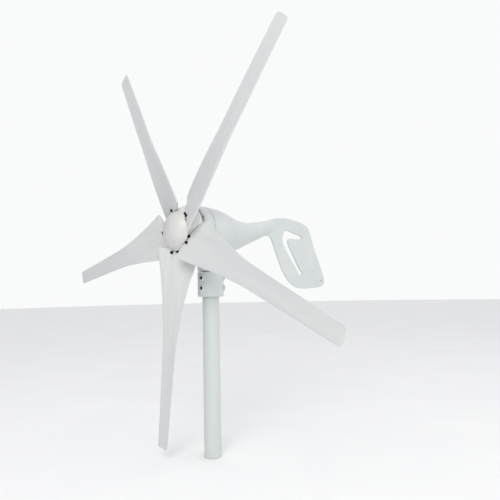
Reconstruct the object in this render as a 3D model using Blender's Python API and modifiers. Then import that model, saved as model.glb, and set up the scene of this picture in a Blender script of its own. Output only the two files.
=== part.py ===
"""A small five-blade wind turbine on a stub of mast.

Frame: +Z up, the origin on the mast's axis at its lower end, the nose
towards -Y and the tail fin towards +Y. Lengths are metres.
The rotor turns about the Y line through ROTOR; its stations are given as
distances behind the rotor plane, so a station of 0.03 is at ROTOR_Y + 0.03.
"""
import math

import bmesh
import bpy
from mathutils import Matrix, Vector

# ------------------------------------------------------------ driving sizes
GAP = 0.0003                      # between solids that touch
ROTOR_RADIUS = 0.600
BLADES = 5
FIRST_BLADE = math.radians(46.7)  # seen from the front, from +X
ROTOR_Y = -0.118                  # the rotor plane, in front of the mast
ROTOR_Z = 0.626                   # the rotor's axis above the mast's end

MAST_RADIUS = 0.024
MAST_WALL = 0.0025
COLLAR_RADIUS = 0.0372
COLLAR_BOTTOM = 0.444
COLLAR_TOP = 0.515
COLLAR_PLATE = 0.0067             # the collar's closed top
SET_SCREW_RADIUS = 0.005
SET_SCREW_HEIGHTS = (0.469, 0.498)
SET_SCREW_ANGLES = (-82, 38, 158)

NECK_BOTTOM = COLLAR_TOP + 0.002
YAW_SHAFT_RADIUS = 0.0134
YAW_STEP_RADIUS = 0.0122
YAW_BORE = 0.0080
YAW_LOWER = 0.5235                # underside of the lower bearing
YAW_UPPER = 0.5455
YAW_BEARING_HEIGHT = 0.009
YAW_RACE = 0.0230                 # outer radius of the yaw bearings

BODY_RADIUS = 0.075
SHELL_FRONT = 0.046
SEAM = 0.078
STATOR_RADIUS = 0.0642
STATOR_BORE = 0.0420
STATOR_START = 0.060
STATOR_END = 0.088
SLOTS = 12
POLES = 10
PLATE_START = 0.0939
PLATE_END = 0.0980
SHAFT_RADIUS = 0.0082
BEARING_RADIUS = 0.0200
BEARING_WIDTH = 0.012
FRONT_BEARING = 0.049
REAR_BEARING = 0.091

HUB_RADIUS = 0.075
HUB_BACK = 0.036
DOME_RADIUS = 0.055
DOME_HEIGHT = 0.030
DOME_WALL = 0.003

FIN_THICKNESS = 0.008
ROUND = 30
SMALL_ROUND = 20
SCREW_ROUND = 8

# ------------------------------------------------------------------- set-up
for old in list(bpy.data.objects):
    bpy.data.objects.remove(old, do_unlink=True)

turbine = bpy.data.collections.new("small_wind_turbine")
cutters = bpy.data.collections.new("cutters")
for collection in (turbine, cutters):
    bpy.context.scene.collection.children.link(collection)


def paint(name, colour, metallic, roughness):
    material = bpy.data.materials.new(name)
    material.use_nodes = True
    shader = material.node_tree.nodes["Principled BSDF"]
    shader.inputs["Base Color"].default_value = (*colour, 1.0)
    shader.inputs["Metallic"].default_value = metallic
    shader.inputs["Roughness"].default_value = roughness
    material.diffuse_color = (*colour, 1.0)
    return material


BODY_PAINT = paint("body_paint", (0.66, 0.70, 0.69), 0.0, 0.35)
BLADE_NYLON = paint("blade_nylon", (0.67, 0.68, 0.66), 0.0, 0.45)
CAST_METAL = paint("cast_metal", (0.55, 0.56, 0.57), 1.0, 0.45)
STEEL = paint("bright_steel", (0.60, 0.60, 0.61), 1.0, 0.30)
DARK_STEEL = paint("dark_screw", (0.05, 0.05, 0.055), 1.0, 0.45)
IRON = paint("laminated_iron", (0.22, 0.22, 0.23), 1.0, 0.55)
COPPER = paint("copper_wire", (0.72, 0.32, 0.16), 1.0, 0.35)
BRASS = paint("brass_ring", (0.78, 0.60, 0.28), 1.0, 0.25)
RUBBER = paint("seal_rubber", (0.03, 0.03, 0.03), 0.0, 0.70)
RESIN = paint("insulating_resin", (0.10, 0.10, 0.11), 0.0, 0.55)
CARBON = paint("brush_carbon", (0.06, 0.06, 0.06), 0.0, 0.60)


# ---------------------------------------------------------------- modelling
def add(name, mesh, material=None, matrix=None):
    """Put a mesh in the turbine, or among the cutters if it has no material."""
    item = bpy.data.objects.new(name, mesh)
    if material:
        turbine.objects.link(item)
        mesh.materials.clear()
        mesh.materials.append(material)
    else:
        cutters.objects.link(item)
        item.hide_render = True
        item.display_type = "WIRE"
    if matrix:
        item.matrix_world = matrix
    return item


def drop(item):
    bpy.data.objects.remove(item, do_unlink=True)


def settle(item, angle=35):
    """Replace the object's mesh with its modifiers' result."""
    bpy.context.view_layer.update()
    graph = bpy.context.evaluated_depsgraph_get()
    mesh = bpy.data.meshes.new_from_object(item.evaluated_get(graph))
    work = bmesh.new()
    work.from_mesh(mesh)
    bmesh.ops.remove_doubles(work, verts=work.verts, dist=2e-6)
    bmesh.ops.dissolve_degenerate(work, edges=work.edges, dist=2e-6)
    work.to_mesh(mesh)
    work.free()
    mesh.shade_smooth()
    mesh.set_sharp_from_angle(angle=math.radians(angle))
    material = item.data.materials[0] if item.data.materials else None
    item.modifiers.clear()
    item.data = mesh
    if material:
        mesh.materials.clear()
        mesh.materials.append(material)
    return item


def combine(item, tools, operation="DIFFERENCE"):
    """Cut the tools from the item, or join them to it, and remove them."""
    for tool in tools:
        step = item.modifiers.new(operation.lower(), "BOOLEAN")
        step.operation = operation
        step.solver = "EXACT"
        step.object = tool
        settle(item)
        drop(tool)
    return item


def turned(name, profile, material=None, matrix=None, segments=ROUND):
    """Turn a profile of (radius, height) points about its own Z axis."""
    area = sum(a[0] * b[1] - b[0] * a[1]
               for a, b in zip(profile, profile[1:] + profile[:1]))
    points = list(profile) if area < 0 else list(reversed(profile))
    on_axis = [i for i, p in enumerate(points) if p[0] < 1e-9]
    closed = not on_axis
    if on_axis:
        for i in on_axis:
            if points[i - 1][0] < 1e-9:
                points = points[i:] + points[:i]
                break
    mesh = bpy.data.meshes.new(name)
    work = bmesh.new()
    verts = [work.verts.new((r, 0, h)) for r, h in points]
    for a, b in zip(verts, verts[1:]):
        work.edges.new((a, b))
    if closed:
        work.edges.new((verts[-1], verts[0]))
    work.to_mesh(mesh)
    work.free()
    item = add(name, mesh, material, matrix)
    screw = item.modifiers.new("turn", "SCREW")
    screw.steps = screw.render_steps = segments
    screw.use_merge_vertices = True
    screw.merge_threshold = 0.00001
    return settle(item)


def along(point, direction):
    """A matrix at the point, with its Z axis along the direction."""
    turn = Vector((0, 0, 1)).rotation_difference(Vector(direction).normalized())
    return Matrix.Translation(Vector(point)) @ turn.to_matrix().to_4x4()


def rotor_matrix():
    """Z along +Y from the rotor plane, on the rotor's axis."""
    turn = Matrix.Rotation(math.radians(-90), 4, "X")
    return Matrix.Translation((0, ROTOR_Y, ROTOR_Z)) @ turn


def rod(name, radius, low, high, material=None, matrix=None, sides=ROUND):
    profile = [(0, high), (radius, high), (radius, low), (0, low)]
    return turned(name, profile, material, matrix, sides)


def ring(name, inner, outer, low, high, material=None, matrix=None,
         segments=SMALL_ROUND):
    profile = [(inner, high), (outer, high), (outer, low), (inner, low)]
    return turned(name, profile, material, matrix, segments)


def block(name, low, high, material=None, matrix=None):
    """A box between two corners."""
    mesh = bpy.data.meshes.new(name)
    work = bmesh.new()
    bmesh.ops.create_cube(work, size=1.0)
    middle = (Vector(low) + Vector(high)) / 2
    size = Vector(high) - Vector(low)
    bmesh.ops.scale(work, vec=size, verts=work.verts)
    bmesh.ops.translate(work, vec=middle, verts=work.verts)
    work.to_mesh(mesh)
    work.free()
    return add(name, mesh, material, matrix)


def plate(name, loops, thickness, material=None, matrix=None):
    """Extrude flat outlines in the XY plane, the first one outermost."""
    curve = bpy.data.curves.new(name, "CURVE")
    curve.dimensions = "2D"
    curve.fill_mode = "BOTH"
    curve.extrude = thickness / 2
    for loop in loops:
        spline = curve.splines.new("POLY")
        spline.points.add(len(loop) - 1)
        for point, (x, y) in zip(spline.points, loop):
            point.co = (x, y, 0, 1)
        spline.use_cyclic_u = True
    guide = bpy.data.objects.new(name + "_outline", curve)
    cutters.objects.link(guide)
    bpy.context.view_layer.update()
    graph = bpy.context.evaluated_depsgraph_get()
    mesh = bpy.data.meshes.new_from_object(guide.evaluated_get(graph))
    drop(guide)
    work = bmesh.new()
    work.from_mesh(mesh)
    bmesh.ops.remove_doubles(work, verts=work.verts, dist=1e-6)
    bmesh.ops.recalc_face_normals(work, faces=work.faces)
    work.to_mesh(mesh)
    work.free()
    return add(name, mesh, material, matrix)


def circle(radius, count, start=0.0):
    turns = [start + 2 * math.pi * i / count for i in range(count)]
    return [(radius * math.cos(a), radius * math.sin(a)) for a in turns]


def smooth_loop(points, steps):
    """Points on a closed Catmull-Rom curve through the given points."""
    count = len(points)
    out = []
    for i in range(count):
        p0, p1, p2, p3 = (Vector(points[(i + k) % count]) for k in (-1, 0, 1, 2))
        for j in range(steps):
            t = j / steps
            out.append(0.5 * ((2 * p1) + (p2 - p0) * t
                              + (2 * p0 - 5 * p1 + 4 * p2 - p3) * t * t
                              + (3 * p1 - p0 - 3 * p2 + p3) * t ** 3))
    return [tuple(p) for p in out]


def between(x, knots):
    """A smooth value at x through (x, value) knots, flat outside them."""
    if x <= knots[0][0]:
        return knots[0][1]
    if x >= knots[-1][0]:
        return knots[-1][1]
    slopes = []
    for i in range(len(knots)):
        a = knots[max(i - 1, 0)]
        b = knots[min(i + 1, len(knots) - 1)]
        slopes.append((b[1] - a[1]) / (b[0] - a[0]))
    for i, (a, b) in enumerate(zip(knots, knots[1:])):
        if a[0] <= x <= b[0]:
            h = b[0] - a[0]
            t = (x - a[0]) / h
            return ((2 * t ** 3 - 3 * t ** 2 + 1) * a[1]
                    + (t ** 3 - 2 * t ** 2 + t) * h * slopes[i]
                    + (3 * t ** 2 - 2 * t ** 3) * b[1]
                    + (t ** 3 - t ** 2) * h * slopes[i + 1])


def loft(name, sections, material=None):
    """Skin closed sections of equal counts and cap both ends."""
    mesh = bpy.data.meshes.new(name)
    work = bmesh.new()
    rows = [[work.verts.new(p) for p in section] for section in sections]
    count = len(rows[0])
    for a, b in zip(rows, rows[1:]):
        for i in range(count):
            j = (i + 1) % count
            work.faces.new((a[i], a[j], b[j], b[i]))
    work.faces.new(rows[0])
    work.faces.new(rows[-1])
    bmesh.ops.recalc_face_normals(work, faces=work.faces)
    work.to_mesh(mesh)
    work.free()
    item = add(name, mesh, material)
    mesh.shade_smooth()
    mesh.set_sharp_from_angle(angle=math.radians(35))
    return item


def cap_screw(name, point, direction, head, height, shank, length, material):
    """A socket-head screw: the point is under its head, the direction outward."""
    chamfer = 0.12 * head
    profile = [(0, height), (head - chamfer, height), (head, height - chamfer),
               (head, 0), (shank, 0), (shank, -length), (0, -length)]
    place = along(point, direction)
    screw = turned(name, profile, material, place, SCREW_ROUND)
    socket = rod("socket", 0.55 * head, 0.45 * height, 2 * height, None, place, 6)
    return combine(screw, [socket])


# -------------------------------------------------------------------- blades
TIP_WIDTH = 0.043
TAPER = 0.050                     # growth of the width from the tip inwards
FLARE = 0.076
FLARE_END = 0.320
ROOT_PITCH = math.radians(27)
PITCH_LENGTH = 0.200
ROOT_STATION = 0.0495
CHAMFER_START = 0.018             # behind the blade's middle line
CHAMFER_SLOPE = 0.5
CHAMFER_FADE = 0.120
SECTION_HALF = 5                  # points on each face of a blade section
BLADE_STATIONS = (ROOT_STATION, 0.070, 0.095, 0.130, 0.170, 0.220, 0.290, 0.380,
                  0.490, 0.586, 0.592, 0.596, 0.5985, 0.600)
SEAT_STATION = 0.058              # where the flat seat takes the blade's pitch
SEAT_DEPTH = 0.0075               # below the chord plane
BOLT_PLACES = ((0.0555, -0.002), (0.0600, 0.0155))   # along, up the chord
BOLT_HEAD = 0.0042
BOLT_HEAD_HEIGHT = 0.0045
BOLT_SHANK = 0.0025
BOLT_LENGTH = 0.018
BOSS_RADIUS = 0.0062
BOSS_HEIGHT = 0.0052              # above the chord plane


def blade_width(s):
    flare = FLARE * max(0.0, 1 - s / FLARE_END) ** 1.5
    return TIP_WIDTH + TAPER * (ROTOR_RADIUS - s) + flare


def blade_pitch(s):
    return ROOT_PITCH * math.exp(-(s / PITCH_LENGTH) ** 1.5)


def blade_thickness(s):
    return 0.0042 + 0.0056 * max(0.0, 1 - s / ROTOR_RADIUS) ** 1.5


def blade_camber(s):
    return 0.008 + 0.027 * min(1.0, max(0.0, (s - 0.06) / 0.12))


def chord_middle(s):
    """Where a section's chord has its middle: across and forward."""
    chord = blade_width(s) / math.cos(blade_pitch(s))
    across = -0.001 - 0.003 * max(0.0, 1 - s / 0.15)
    return across, -0.2 * chord * math.sin(blade_pitch(s)) - 0.0015


def tip_trim(s, radius):
    """How much a rounded tip corner has come in at a station."""
    inside = s - (ROTOR_RADIUS - radius)
    if inside <= 0:
        return 0.0
    return radius - math.sqrt(max(0.0, radius ** 2 - inside ** 2))


def blade_place(s, u, side):
    """A point of the section at s: towards the leading edge, and forward.

    u runs from the leading edge (0) to the trailing edge (1); side is 1 on
    the front face and -1 on the back one.
    """
    pitch = blade_pitch(s)
    chord = blade_width(s) / math.cos(pitch)
    across, forward = chord_middle(s)
    lead = 0.5 * chord - tip_trim(s, 0.005)
    trail = -0.5 * chord + tip_trim(s, 0.014)
    c = lead + (trail - lead) * u
    half = 5 * blade_thickness(s) * (0.2969 * math.sqrt(u) - 0.1260 * u
                                     - 0.3516 * u ** 2 + 0.2843 * u ** 3
                                     - 0.1036 * u ** 4) + 0.0006 * u
    v = side * half - 4 * blade_camber(s) * u * (1 - u) * chord
    return (across + c * math.cos(pitch) - v * math.sin(pitch),
            forward + c * math.sin(pitch) + v * math.cos(pitch))


def blade_section(s):
    """A section's points (along, across, forward), round the blade."""
    steps = [0.5 * (1 - math.cos(math.pi * i / SECTION_HALF))
             for i in range(SECTION_HALF + 1)]
    fade = max(0.0, (CHAMFER_FADE - s) / (CHAMFER_FADE - ROOT_STATION))
    points = []
    for u, side in [(u, 1) for u in steps] + [(u, -1) for u in reversed(steps[1:])]:
        behind = max(0.0, -CHAMFER_START - blade_place(s, u, side)[0])
        station = s + CHAMFER_SLOPE * behind * fade
        points.append((station, *blade_place(station, u, side)))
    return points


def blade_axes(number):
    """Outwards, towards the leading edge, and forward."""
    a = FIRST_BLADE + 2 * math.pi * number / BLADES
    return (Vector((math.cos(a), 0, math.sin(a))),
            Vector((math.sin(a), 0, -math.cos(a))), Vector((0, -1, 0)))


def root_frame(number):
    """X out along the blade, Y up the root's chord, Z square to it, forward."""
    out, lead, front = blade_axes(number)
    pitch = blade_pitch(SEAT_STATION)
    across, forward = chord_middle(SEAT_STATION)
    up_chord = lead * math.cos(pitch) + front * math.sin(pitch)
    square = front * math.cos(pitch) - lead * math.sin(pitch)
    origin = Vector((0, ROTOR_Y, ROTOR_Z)) + front * (forward - across * math.tan(pitch))
    frame = Matrix((out, up_chord, square)).transposed().to_4x4()
    frame.translation = origin
    return frame


def root_prism(number, clearance, low, high):
    """A flat-bottomed cutter over the blade's root, open outwards."""
    start = ROOT_STATION - clearance
    wide = 0.095
    knee = -CHAMFER_START - 3 * clearance
    far = start + 0.9 * CHAMFER_SLOPE * (wide + knee)
    outline = [(start, wide), (start, knee), (far, -wide), (0.130, -wide), (0.130, wide)]
    lift = Matrix.Translation((0, 0, (low + high) / 2))
    return plate("seat", [outline], high - low, None, root_frame(number) @ lift)


def bolt_frames(number):
    return [root_frame(number) @ Matrix.Translation((s, c, 0)) for s, c in BOLT_PLACES]


def make_blade(number):
    out, lead, front = blade_axes(number)
    centre = Vector((0, ROTOR_Y, ROTOR_Z))
    sections = [[centre + out * s + lead * t + front * d for s, t, d in blade_section(station)]
                for station in BLADE_STATIONS]
    blade = loft(f"blade_{number + 1}", sections, BLADE_NYLON)
    frames = bolt_frames(number)
    combine(blade, [rod("boss", BOSS_RADIUS, GAP - SEAT_DEPTH, BOSS_HEIGHT, None, frame, 10)
                    for frame in frames], "UNION")
    combine(blade, [rod("hole", BOLT_SHANK + GAP, -0.03, 0.03, None, frame, SCREW_ROUND)
                    for frame in frames])
    for i, frame in enumerate(frames):
        under = frame @ Vector((0, 0, BOSS_HEIGHT + GAP))
        square = frame.to_3x3() @ Vector((0, 0, 1))
        cap_screw(f"blade_bolt_{number + 1}_{i + 1}", under, square, BOLT_HEAD,
                  BOLT_HEAD_HEIGHT, BOLT_SHANK, BOLT_LENGTH, DARK_STEEL)


# ---------------------------------------------------------------- rotor parts
def make_hub():
    """A cast drum with a pitched flat seat for each blade."""
    profile = [(SHAFT_RADIUS + GAP, 0.002), (0.0530, 0.002), (0.0545, 0.0025),
               (0.0660, 0.014), (0.0735, 0.028), (HUB_RADIUS, 0.032),
               (HUB_RADIUS, HUB_BACK), (0.0700, HUB_BACK), (0.0680, 0.033),
               (0.0460, 0.033), (0.0440, 0.014), (0.0250, 0.014),
               (0.0220, 0.043), (SHAFT_RADIUS + GAP, 0.043)]
    hub = turned("hub", profile, BODY_PAINT, rotor_matrix(), ROUND)
    combine(hub, [root_prism(n, 0.0008, -SEAT_DEPTH, 0.07) for n in range(BLADES)])
    depth = BOLT_LENGTH - BOSS_HEIGHT + 0.001
    combine(hub, [rod("tapped", BOLT_SHANK + GAP, -depth, 0.0, None, frame, SCREW_ROUND)
                  for n in range(BLADES) for frame in bolt_frames(n)])


def make_nose_cone():
    """A domed cap that screws onto the shaft's threaded tip."""
    def arc(base, height, start, steps):
        radius = (base ** 2 + height ** 2) / (2 * height)
        stop = math.asin(base / radius)
        turns = [start + (stop - start) * i / steps for i in range(steps + 1)]
        return [(radius * math.sin(a), -height + radius * (1 - math.cos(a))) for a in turns]
    base = DOME_RADIUS - DOME_WALL
    inner = arc(base, DOME_HEIGHT - DOME_WALL, 0.16, 2)
    boss = inner[0][0]
    profile = arc(DOME_RADIUS, DOME_HEIGHT, 0.0, 5) + [(DOME_RADIUS, 0.0017), (base, 0.0017)]
    profile += list(reversed(inner))
    profile += [(boss, -0.0115), (0.0063, -0.0115), (0.0063, -0.0205), (0, -0.0205)]
    dome = turned("nose_cone", profile, BODY_PAINT, rotor_matrix(), ROUND)
    combine(dome, [root_prism(n, 0.0010, -SEAT_DEPTH, BOSS_HEIGHT + 0.0008)
                   for n in range(BLADES)])
    top = BOSS_HEIGHT + BOLT_HEAD_HEIGHT + 0.002
    combine(dome, [rod("notch", BOLT_HEAD + 0.0010, 0.0, top, None, frame, 10)
                   for n in range(BLADES) for frame in bolt_frames(n)])


def make_shaft():
    profile = [(0, -0.0195), (0.0052, -0.0195), (0.0060, -0.0185), (0.0060, 0.004),
               (SHAFT_RADIUS, 0.004), (SHAFT_RADIUS, 0.0443), (0.0105, 0.0443),
               (0.0105, FRONT_BEARING - GAP), (SHAFT_RADIUS, FRONT_BEARING - GAP),
               (SHAFT_RADIUS, 0.1035), (0, 0.1035)]
    turned("rotor_shaft", profile, STEEL, rotor_matrix(), SMALL_ROUND)
    nut = plate("hub_nut", [circle(0.0110, 6), circle(0.0063, 18)], 0.0095, STEEL,
                rotor_matrix() @ Matrix.Translation((0, 0, -0.0045)))
    flange = ring("flange", 0.0063, 0.0140, -0.0010, 0.0017, None, rotor_matrix())
    combine(nut, [flange], "UNION")


def make_magnet_rotor():
    outline = []
    for pole in range(POLES):
        start = 2 * math.pi * pole / POLES
        for share, radius in ((0.06, 0.0413), (0.33, 0.0413), (0.60, 0.0413),
                              (0.87, 0.0413), (0.89, 0.0390), (1.04, 0.0390)):
            a = start + share * 2 * math.pi / POLES
            outline.append((radius * math.cos(a), radius * math.sin(a)))
    shift = rotor_matrix() @ Matrix.Translation((0, 0, 0.0755))
    bore = circle(SHAFT_RADIUS + GAP, SMALL_ROUND)
    plate("magnet_rotor", [outline, bore], 0.024, IRON, shift)


# -------------------------------------------------------------- alternator
def make_stator():
    half = 0.0035
    inner = []
    for slot in range(SLOTS):
        a = 2 * math.pi * slot / SLOTS
        for radius, side in ((STATOR_BORE, -half), (0.0580, -half),
                             (0.0580, half), (STATOR_BORE, half)):
            inner.append((radius * math.cos(a) - side * math.sin(a),
                          radius * math.sin(a) + side * math.cos(a)))
        tooth = a + math.pi / SLOTS
        inner.append((STATOR_BORE * math.cos(tooth), STATOR_BORE * math.sin(tooth)))
    length = STATOR_END - STATOR_START
    shift = rotor_matrix() @ Matrix.Translation((0, 0, STATOR_START + length / 2))
    plate("stator_core", [circle(STATOR_RADIUS, ROUND), inner], length, IRON, shift)

    profile = [(0.0455, 0.0565), (0.0475, 0.0550), (0.0590, 0.0550), (0.0610, 0.0565),
               (0.0610, STATOR_START - GAP), (0.0455, STATOR_START - GAP)]
    winding = turned("stator_winding", profile, COPPER, rotor_matrix(), 18)
    rear = [(r, STATOR_START + STATOR_END - h) for r, h in profile]
    tools = [turned("rear_turns", rear, None, rotor_matrix(), 18)]
    for slot in range(SLOTS):
        turn = Matrix.Rotation(2 * math.pi * slot / SLOTS, 4, "Z")
        side = half - GAP
        tools.append(block("coil_side", (0.0470, -side, STATOR_START - 0.003),
                           (0.0577, side, STATOR_END + 0.003), None,
                           rotor_matrix() @ turn))
    combine(winding, tools, "UNION")


def make_bearing(name, matrix, bore, race_in, race_out, outside, low, high, balls):
    """Inner ring, outer ring and a cage of balls as three solids."""
    middle = (low + high) / 2
    pitch = (race_in + race_out) / 2
    ball = (race_out - race_in) / 2 - GAP
    ring(name + "_inner", bore, race_in, low, high, STEEL, matrix)
    ring(name + "_outer", race_out, outside, low, high, STEEL, matrix)
    half = 0.40 * ball
    cage = ring(name + "_balls", pitch - half, pitch + half, middle - half,
                middle + half, STEEL, matrix, 2 * balls)
    mesh = bpy.data.meshes.new("balls")
    work = bmesh.new()
    for i in range(balls):
        a = 2 * math.pi * (i + 0.5) / balls
        spot = Matrix.Translation((pitch * math.cos(a), pitch * math.sin(a), middle))
        bmesh.ops.create_uvsphere(work, u_segments=6, v_segments=4, radius=ball,
                                  matrix=spot)
    work.to_mesh(mesh)
    work.free()
    combine(cage, [add("balls", mesh, None, matrix)], "UNION")


def make_rotor_bearings():
    for name, low in (("front_bearing", FRONT_BEARING), ("rear_bearing", REAR_BEARING)):
        make_bearing(name, rotor_matrix(), SHAFT_RADIUS + GAP, 0.0118, 0.0170,
                     BEARING_RADIUS, low, low + BEARING_WIDTH, 7)
    ring("front_seal", 0.0108, BEARING_RADIUS, 0.0463, FRONT_BEARING - GAP, RUBBER,
         rotor_matrix())


def make_bearing_plate():
    """The wall that carries the shaft's rear bearing."""
    bore = BEARING_RADIUS + GAP
    profile = [(bore, 0.0905), (0.0250, 0.0905), (0.0260, PLATE_START),
               (STATOR_RADIUS, PLATE_START), (STATOR_RADIUS, PLATE_END),
               (0.0260, PLATE_END), (0.0250, 0.1045), (0.0120, 0.1045),
               (0.0120, REAR_BEARING + BEARING_WIDTH + GAP),
               (bore, REAR_BEARING + BEARING_WIDTH + GAP)]
    turned("bearing_plate", profile, CAST_METAL, rotor_matrix(), ROUND)


# ----------------------------------------------------------------- nacelle
SHELL_SCREW_ANGLES = (30, 150, 270)
SHELL_SCREW_CIRCLE = 0.0697
SHELL_SCREW_SHANK = 0.0020
SHELL_SCREW_HEAD = 0.0036

# Half height and half width of the body at stations behind the rotor plane:
# its upper edge, its lower edge and its side, with the axis as zero.
UPPER_EDGE = ((0.080, 0.0750), (0.123, 0.0715), (0.158, 0.0640), (0.198, 0.0510),
              (0.230, 0.0440), (0.264, 0.0425), (0.309, 0.0480), (0.345, 0.0550),
              (0.385, 0.0640), (0.420, 0.0690))
LOWER_EDGE = ((0.080, -0.0750), (0.123, -0.0735), (0.165, -0.0640),
              (0.214, -0.0450), (0.290, -0.0146), (0.340, 0.0054),
              (0.380, 0.0250), (0.420, 0.0450))
SIDE_EDGE = ((0.080, 0.0750), (0.123, 0.0715), (0.158, 0.0610), (0.198, 0.0450),
             (0.240, 0.0310), (0.290, 0.0190), (0.340, 0.0105), (0.380, 0.0060),
             (0.420, 0.0034))
BODY_STATIONS = (0.080, 0.123, 0.145, 0.170, 0.198, 0.230, 0.270, 0.309, 0.340,
                 0.372, 0.410)
BODY_ROUND = 24


def body_section(station, wall=0.0):
    """An egg-shaped ring of points, narrowed by the wall."""
    top = between(station, UPPER_EDGE) - wall
    low = between(station, LOWER_EDGE) + wall
    side = between(station, SIDE_EDGE) - wall
    middle = (top + low) / 2
    half = (top - low) / 2
    ring_points = []
    for i in range(BODY_ROUND):
        a = 2 * math.pi * i / BODY_ROUND
        ring_points.append(Vector((side * math.cos(a), ROTOR_Y + station,
                                   ROTOR_Z + middle + half * math.sin(a))))
    return ring_points


# The fin's edge, clockwise from the top of the boom, as (station, height).
FIN_EDGE = ((0.330, 0.030), (0.372, 0.0615), (0.415, 0.0700), (0.457, 0.0712),
            (0.499, 0.0655), (0.535, 0.0575), (0.558, 0.0450), (0.573, 0.0130),
            (0.589, -0.0260), (0.611, -0.0720), (0.636, -0.1240),
            (0.638, -0.1480), (0.618, -0.1600), (0.568, -0.1645),
            (0.519, -0.1655), (0.483, -0.1590), (0.450, -0.1390),
            (0.425, -0.1100), (0.407, -0.0780), (0.391, -0.0440),
            (0.374, -0.0060), (0.362, 0.0070), (0.345, 0.0080))
FIN_SLOT = ((0.433, 0.0240), (0.450, 0.0290), (0.485, 0.0215), (0.518, 0.0135),
            (0.519, 0.0055), (0.490, 0.0035), (0.462, 0.0045), (0.452, -0.0030),
            (0.456, -0.0210), (0.482, -0.0620), (0.508, -0.1000),
            (0.522, -0.1130), (0.508, -0.1190), (0.478, -0.0850),
            (0.450, -0.0490), (0.429, -0.0200), (0.424, 0.0040))
FIN_HOLE = (0.620, -0.140, 0.0035)


def make_rear_body():
    """One casting: the generator housing, the neck, the boom and the fin."""
    sections = [body_section(s) for s in BODY_STATIONS]
    body = loft("rear_body", sections, BODY_PAINT)
    # The plate's own X is the station and its Y the height.
    upright = Matrix(((0, 0, 1, 0), (1, 0, 0, ROTOR_Y), (0, 1, 0, ROTOR_Z), (0, 0, 0, 1)))
    x, z, radius = FIN_HOLE
    hole = [(x + a, z + b) for a, b in circle(radius, 12)]
    loops = [smooth_loop(FIN_EDGE, 3), smooth_loop(FIN_SLOT, 3), hole]
    fin = plate("fin", loops, FIN_THICKNESS, None, upright)
    neck = rod("neck", COLLAR_RADIUS, NECK_BOTTOM, ROTOR_Z - 0.030, None, None, ROUND)
    lip = rod("lip", BODY_RADIUS - 0.0018, SEAM + GAP, 0.090, None, rotor_matrix(), ROUND)
    combine(body, [fin, neck, lip], "UNION")

    wall = 0.0055
    start = PLATE_END + GAP
    inner = [body_section(s, wall) for s in (0.121, 0.145, 0.170, 0.198, 0.240, 0.290)]
    chamber = loft("chamber", inner)
    throat = rod("throat", 0.0620, start - 0.010, 0.130, None, rotor_matrix(), ROUND)
    seat = rod("seat", STATOR_RADIUS + GAP, SEAM - 0.010, start, None, rotor_matrix(), ROUND)
    race = YAW_RACE + GAP
    top = YAW_UPPER + YAW_BEARING_HEIGHT + GAP
    bore = turned("bore", [(0, 0.60), (0.0205, 0.60), (0.0205, top), (race, top),
                           (race, NECK_BOTTOM - 0.01), (0, NECK_BOTTOM - 0.01)])
    combine(body, [chamber, throat, seat])
    combine(body, [bore])

    post = block("post", (-0.010, 0.0345, 0.5500), (0.010, 0.0440, 0.5900))
    combine(body, [post], "UNION")
    holes = [screw_hole(a, SHELL_SCREW_SHANK + GAP, SEAM - 0.005, 0.094)
             for a in SHELL_SCREW_ANGLES]
    mark = along((between(0.225, SIDE_EDGE), ROTOR_Y + 0.225, ROTOR_Z + 0.010), (1, 0, 0))
    holes.append(rod("dimple", 0.0032, -0.0030, 0.01, None, mark, SCREW_ROUND))
    combine(body, holes)


def screw_hole(angle, radius, low, high):
    a = math.radians(angle)
    shift = Matrix.Translation((SHELL_SCREW_CIRCLE * math.cos(a),
                                -SHELL_SCREW_CIRCLE * math.sin(a), 0))
    return rod("screw_hole", radius, low, high, None, rotor_matrix() @ shift, SCREW_ROUND)


def make_front_shell():
    """The front cover: a rounded cup with the front bearing's boss."""
    edge = 0.007
    rim = []
    for i in range(3):
        a = math.radians(90 * i / 2)
        rim.append((BODY_RADIUS - edge + edge * math.sin(a),
                    SHELL_FRONT + edge - edge * math.cos(a)))
    bore = BEARING_RADIUS + GAP
    inner = STATOR_RADIUS + GAP
    profile = [(bore, SHELL_FRONT)] + rim
    profile += [(BODY_RADIUS, SEAM - GAP), (inner, SEAM - GAP), (inner, 0.0515),
                (0.0270, 0.0515), (0.0260, 0.0622), (0.0125, 0.0622),
                (0.0125, FRONT_BEARING + BEARING_WIDTH + GAP),
                (bore, FRONT_BEARING + BEARING_WIDTH + GAP)]
    shell = turned("front_shell", profile, BODY_PAINT, rotor_matrix(), ROUND)
    tools = [screw_hole(a, SHELL_SCREW_SHANK + GAP, 0.04, 0.09) for a in SHELL_SCREW_ANGLES]
    tools += [screw_hole(a, SHELL_SCREW_HEAD + GAP, 0.04, 0.0505) for a in SHELL_SCREW_ANGLES]
    combine(shell, tools)
    for i, angle in enumerate(SHELL_SCREW_ANGLES):
        a = math.radians(angle)
        spot = Vector((SHELL_SCREW_CIRCLE * math.cos(a), ROTOR_Y + 0.0505 - GAP,
                       ROTOR_Z + SHELL_SCREW_CIRCLE * math.sin(a)))
        cap_screw(f"shell_screw_{i + 1}", spot, (0, -1, 0), SHELL_SCREW_HEAD, 0.0036,
                  SHELL_SCREW_SHANK, 0.042, STEEL)


# ------------------------------------------------------------ mast and yaw
def make_mast():
    ring("mast_tube", MAST_RADIUS - MAST_WALL, MAST_RADIUS, 0.0,
         COLLAR_TOP - COLLAR_PLATE - GAP, BODY_PAINT, None, ROUND)


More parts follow.
